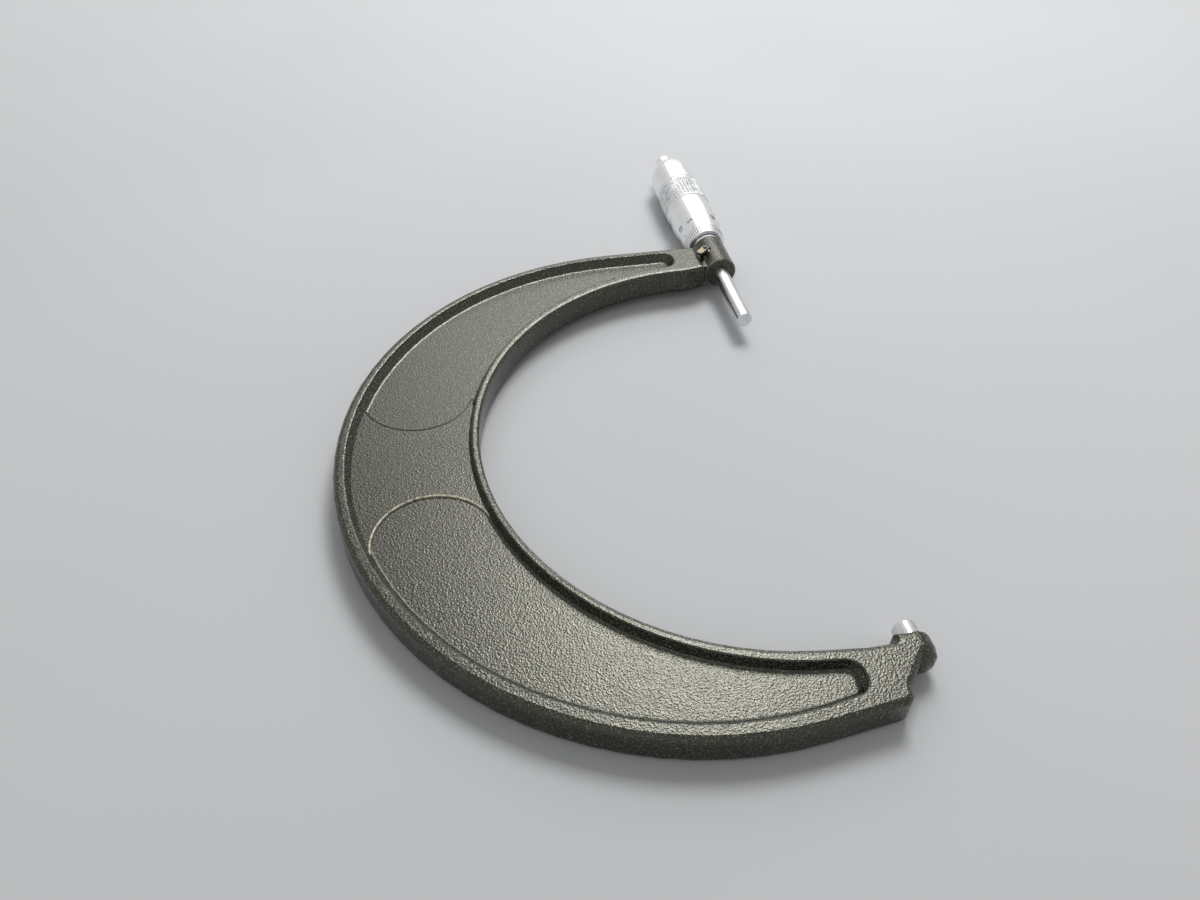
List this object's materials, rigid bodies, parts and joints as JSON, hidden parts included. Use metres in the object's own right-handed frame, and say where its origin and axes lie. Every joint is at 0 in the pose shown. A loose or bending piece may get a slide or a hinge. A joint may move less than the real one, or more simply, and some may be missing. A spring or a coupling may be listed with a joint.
{
  "type": "outside micrometer",
  "caption": "Outside micrometer: a C-shaped frame with a fixed anvil, and a spindle that a graduated thimble screws in and out, with a spindle lock and a ratchet knob.",
  "frame": {"origin": "centre of the anvil's measuring face", "axes": "+X runs along the measuring axis from the anvil to the thimble, +Y to the back of the frame, and +Z stands square to the frame's side"},
  "size_m": [0.3106, 0.1687, 0.0198],
  "materials": {
    "black_wrinkle_enamel": "black wrinkle enamel on a cast frame",
    "ground_steel": "hardened steel, ground and lapped",
    "satin_chrome": "satin chrome plate",
    "plain_steel": "turned steel",
    "bronzed_steel": "lever of steel with a worn bronze tone"
  },
  "bodies": {
    "frame": {"frame": "black_wrinkle_enamel", "anvil": "ground_steel", "inner_sleeve": "plain_steel", "graduated_sleeve": "satin_chrome", "adjusting_nut": "plain_steel", "lock_washer": "plain_steel"},
    "lock": {"lock_pin": "plain_steel", "lock_lever": "bronzed_steel", "lock_screw": "plain_steel"},
    "spindle": {"spindle": "ground_steel"},
    "thimble": {"thimble": "satin_chrome", "thimble_washer": "plain_steel", "thimble_nut": "plain_steel", "thimble_cap": "satin_chrome", "ratchet_clutch": "plain_steel", "ratchet_spring": "plain_steel"},
    "ratchet": {"ratchet_knob": "satin_chrome", "ratchet_wheel": "plain_steel", "ratchet_screw": "plain_steel"}
  },
  "joints": [
    {"name": "spindle_travel", "type": "slide", "parent": "frame", "child": "spindle", "axis": [1, 0, 0], "range_m": [0, 0.025]},
    {"name": "thimble_turn", "type": "hinge", "parent": "spindle", "child": "thimble", "pos_m": [0.2038, 0, 0], "axis": [1, 0, 0], "range_deg": [0, 18000]},
    {"name": "ratchet_turn", "type": "hinge", "parent": "thimble", "child": "ratchet", "pos_m": [0.2738, 0, 0], "axis": [1, 0, 0], "continuous": true},
    {"name": "lock_turn", "type": "hinge", "parent": "frame", "child": "lock", "pos_m": [0.1931, 0.00438, 0], "axis": [0, 0, 1], "range_deg": [-50, 0]}
  ],
  "couplings": [
    {"joint": "thimble_turn", "follows": "spindle_travel", "rad_per_m": 12566}
  ]
}
